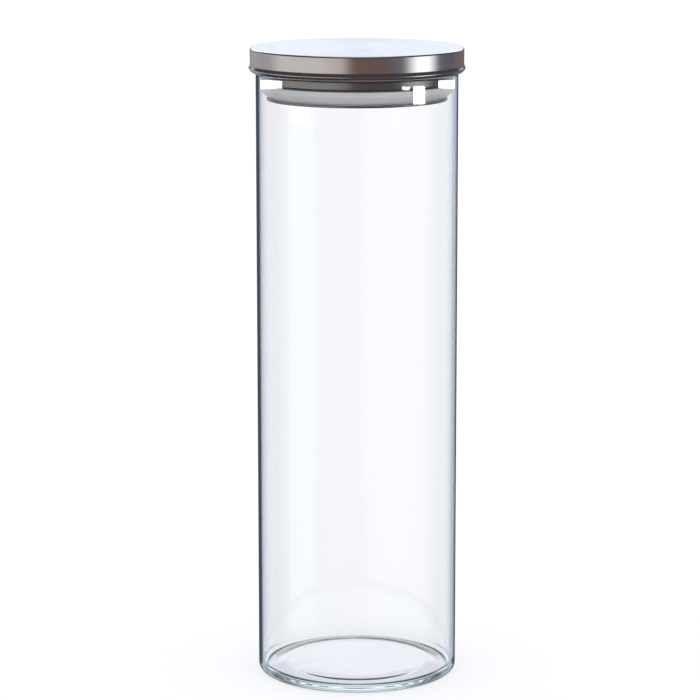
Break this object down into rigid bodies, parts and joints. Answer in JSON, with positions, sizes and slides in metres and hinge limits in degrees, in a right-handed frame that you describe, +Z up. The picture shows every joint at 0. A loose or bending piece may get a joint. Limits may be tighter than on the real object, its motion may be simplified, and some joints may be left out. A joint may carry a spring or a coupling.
{
  "type": "glass storage jar",
  "caption": "Tall cylindrical clear glass storage jar with a push-in lid of polished steel and a translucent silicone seal ring.",
  "frame": {"origin": "centre of the jar's base, at the height of the surface it stands on", "axes": "+Z up the jar's axis, towards the lid; the part is round, so +X and +Y are any two directions across it"},
  "size_m": [0.107, 0.107, 0.316],
  "materials": {
    "clear_glass": "clear, polished, faintly blue-green in its thickness",
    "cap_steel": "satin-brushed top, bright polished skirt and bead",
    "plug_steel": "bright rolled sheet",
    "silicone": "translucent, satin"
  },
  "bodies": {
    "jar": {"glass_jar": "clear_glass"},
    "lid": {"lid_cap": "cap_steel", "lid_pan": "plug_steel", "plug_plate": "plug_steel", "seal_ring": "silicone"}
  },
  "joints": [
    {"name": "lid_lift", "type": "slide", "parent": "jar", "child": "lid", "axis": [0, 0, 1], "range_m": [0, 0.1]}
  ]
}
